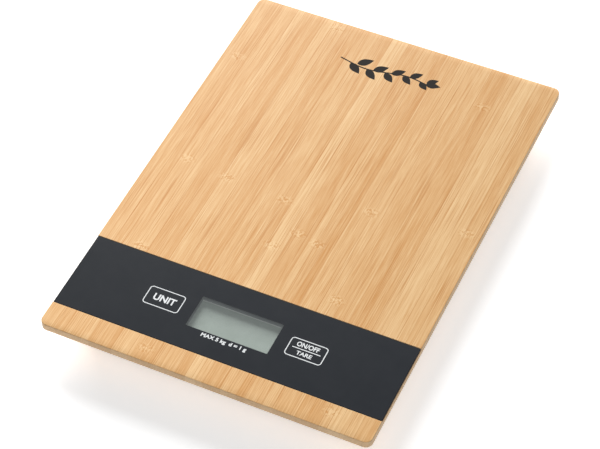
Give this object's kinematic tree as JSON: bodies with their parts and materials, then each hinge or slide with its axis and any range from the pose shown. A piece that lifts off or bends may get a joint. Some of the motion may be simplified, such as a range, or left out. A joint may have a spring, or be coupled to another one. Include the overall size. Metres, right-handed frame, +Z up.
{
  "type": "kitchen scale",
  "caption": "Slim battery kitchen scale: bamboo weighing board with a dark display panel across its front, plastic shell and load-cell feet beneath.",
  "frame": {"origin": "on the table under the middle of the board, at the undersides of the foot pads", "axes": "+X to the user's right, +Y from the display end to the back of the board, +Z up"},
  "size_m": [0.16, 0.225, 0.016],
  "materials": {
    "bamboo": "satin clear lacquer over laminated bamboo strips",
    "panel_film": "satin, printed dark blue-grey on the back of clear polyester",
    "mounting_tape": "thin double-sided tape",
    "carrier_plastic": "fine-textured grey ABS",
    "display_film": "grey-green liquid-crystal display film, satin",
    "display_glass": "clear",
    "contact_rubber": "layered conductive silicone strip",
    "circuit_laminate": "green solder mask on fibreglass",
    "black_epoxy": "moulded epoxy",
    "plated_steel": "zinc plated",
    "switch_black": "moulded nylon",
    "switch_stem": "moulded nylon",
    "shell_plastic": "fine-textured ABS",
    "nickel_plate": "nickel plated, brushed",
    "pad_rubber": "matt moulded rubber",
    "load_cell_steel": "stamped spring steel",
    "gauge_sealant": "white silicone",
    "lead_sleeve": "soft PVC sleeve",
    "black_wire": "PVC insulation",
    "red_wire": "PVC insulation"
  },
  "bodies": {
    "root": {"bamboo_board": "bamboo", "battery_lead_negative": "black_wire", "battery_lead_positive": "red_wire", "bottom_shell": "shell_plastic", "chip_cover": "black_epoxy", "circuit_board": "circuit_laminate", "circuit_screw_1": "plated_steel", "circuit_screw_2": "plated_steel", "clamp_ring_front_left": "carrier_plastic", "clamp_ring_front_right": "carrier_plastic", "clamp_ring_rear_left": "carrier_plastic", "clamp_ring_rear_right": "carrier_plastic", "coin_cell": "nickel_plate", "contact_strip_front": "contact_rubber", "contact_strip_rear": "contact_rubber", "display_carrier": "carrier_plastic", "display_front_glass": "display_glass", "display_polariser": "display_film", "display_rear_glass": "display_glass", "display_reflector": "display_film", "filter_capacitor": "black_epoxy", "front_panel": "panel_film", "load_cell_front_left": "load_cell_steel", "load_cell_front_right": "load_cell_steel", "load_cell_lead_front_left": "lead_sleeve", "load_cell_lead_front_right": "lead_sleeve", "load_cell_lead_rear_left": "lead_sleeve", "load_cell_lead_rear_right": "lead_sleeve", "load_cell_rear_left": "load_cell_steel", "load_cell_rear_right": "load_cell_steel", "negative_contact": "nickel_plate", "panel_tape": "mounting_tape", "positive_contact": "nickel_plate", "shell_screw_1": "plated_steel", "shell_screw_2": "plated_steel", "shell_screw_3": "plated_steel", "shell_screw_4": "plated_steel", "shell_screw_5": "plated_steel", "shell_screw_6": "plated_steel", "strain_gauge_front_left": "gauge_sealant", "strain_gauge_front_right": "gauge_sealant", "strain_gauge_rear_left": "gauge_sealant", "strain_gauge_rear_right": "gauge_sealant", "tare_switch_housing": "switch_black", "unit_switch_housing": "switch_black", "weighing_chip": "black_epoxy"},
    "foot_front_left": {"foot_cup_front_left": "shell_plastic", "foot_pad_front_left": "pad_rubber"},
    "foot_front_right": {"foot_cup_front_right": "shell_plastic", "foot_pad_front_right": "pad_rubber"},
    "foot_rear_left": {"foot_cup_rear_left": "shell_plastic", "foot_pad_rear_left": "pad_rubber"},
    "foot_rear_right": {"foot_cup_rear_right": "shell_plastic", "foot_pad_rear_right": "pad_rubber"},
    "unit_button": {"unit_key": "carrier_plastic", "unit_switch_stem": "switch_stem"},
    "tare_button": {"tare_key": "carrier_plastic", "tare_switch_stem": "switch_stem"},
    "door": {"battery_door": "shell_plastic"}
  },
  "joints": [
    {"name": "foot_front_left_press", "type": "slide", "parent": "root", "child": "foot_front_left", "axis": [0, 0, 1], "range_m": [0, 0.0004], "stiffness_N_per_m": 35000, "deforming": ["load_cell_front_left"]},
    {"name": "foot_front_right_press", "type": "slide", "parent": "root", "child": "foot_front_right", "axis": [0, 0, 1], "range_m": [0, 0.0004], "stiffness_N_per_m": 35000, "deforming": ["load_cell_front_right"]},
    {"name": "foot_rear_left_press", "type": "slide", "parent": "root", "child": "foot_rear_left", "axis": [0, 0, 1], "range_m": [0, 0.0004], "stiffness_N_per_m": 35000, "deforming": ["load_cell_rear_left"]},
    {"name": "foot_rear_right_press", "type": "slide", "parent": "root", "child": "foot_rear_right", "axis": [0, 0, 1], "range_m": [0, 0.0004], "stiffness_N_per_m": 35000, "deforming": ["load_cell_rear_right"]},
    {"name": "unit_press", "type": "slide", "parent": "root", "child": "unit_button", "axis": [0, 0, -1], "range_m": [0, 0.0003], "stiffness_N_per_m": 6000},
    {"name": "tare_press", "type": "slide", "parent": "root", "child": "tare_button", "axis": [0, 0, -1], "range_m": [0, 0.0003], "stiffness_N_per_m": 6000},
    {"name": "battery_door_hinge", "type": "hinge", "parent": "root", "child": "door", "pos_m": [0, -0.0354, 0.003], "axis": [-1, 0, 0], "range_deg": [0, 75]}
  ]
}
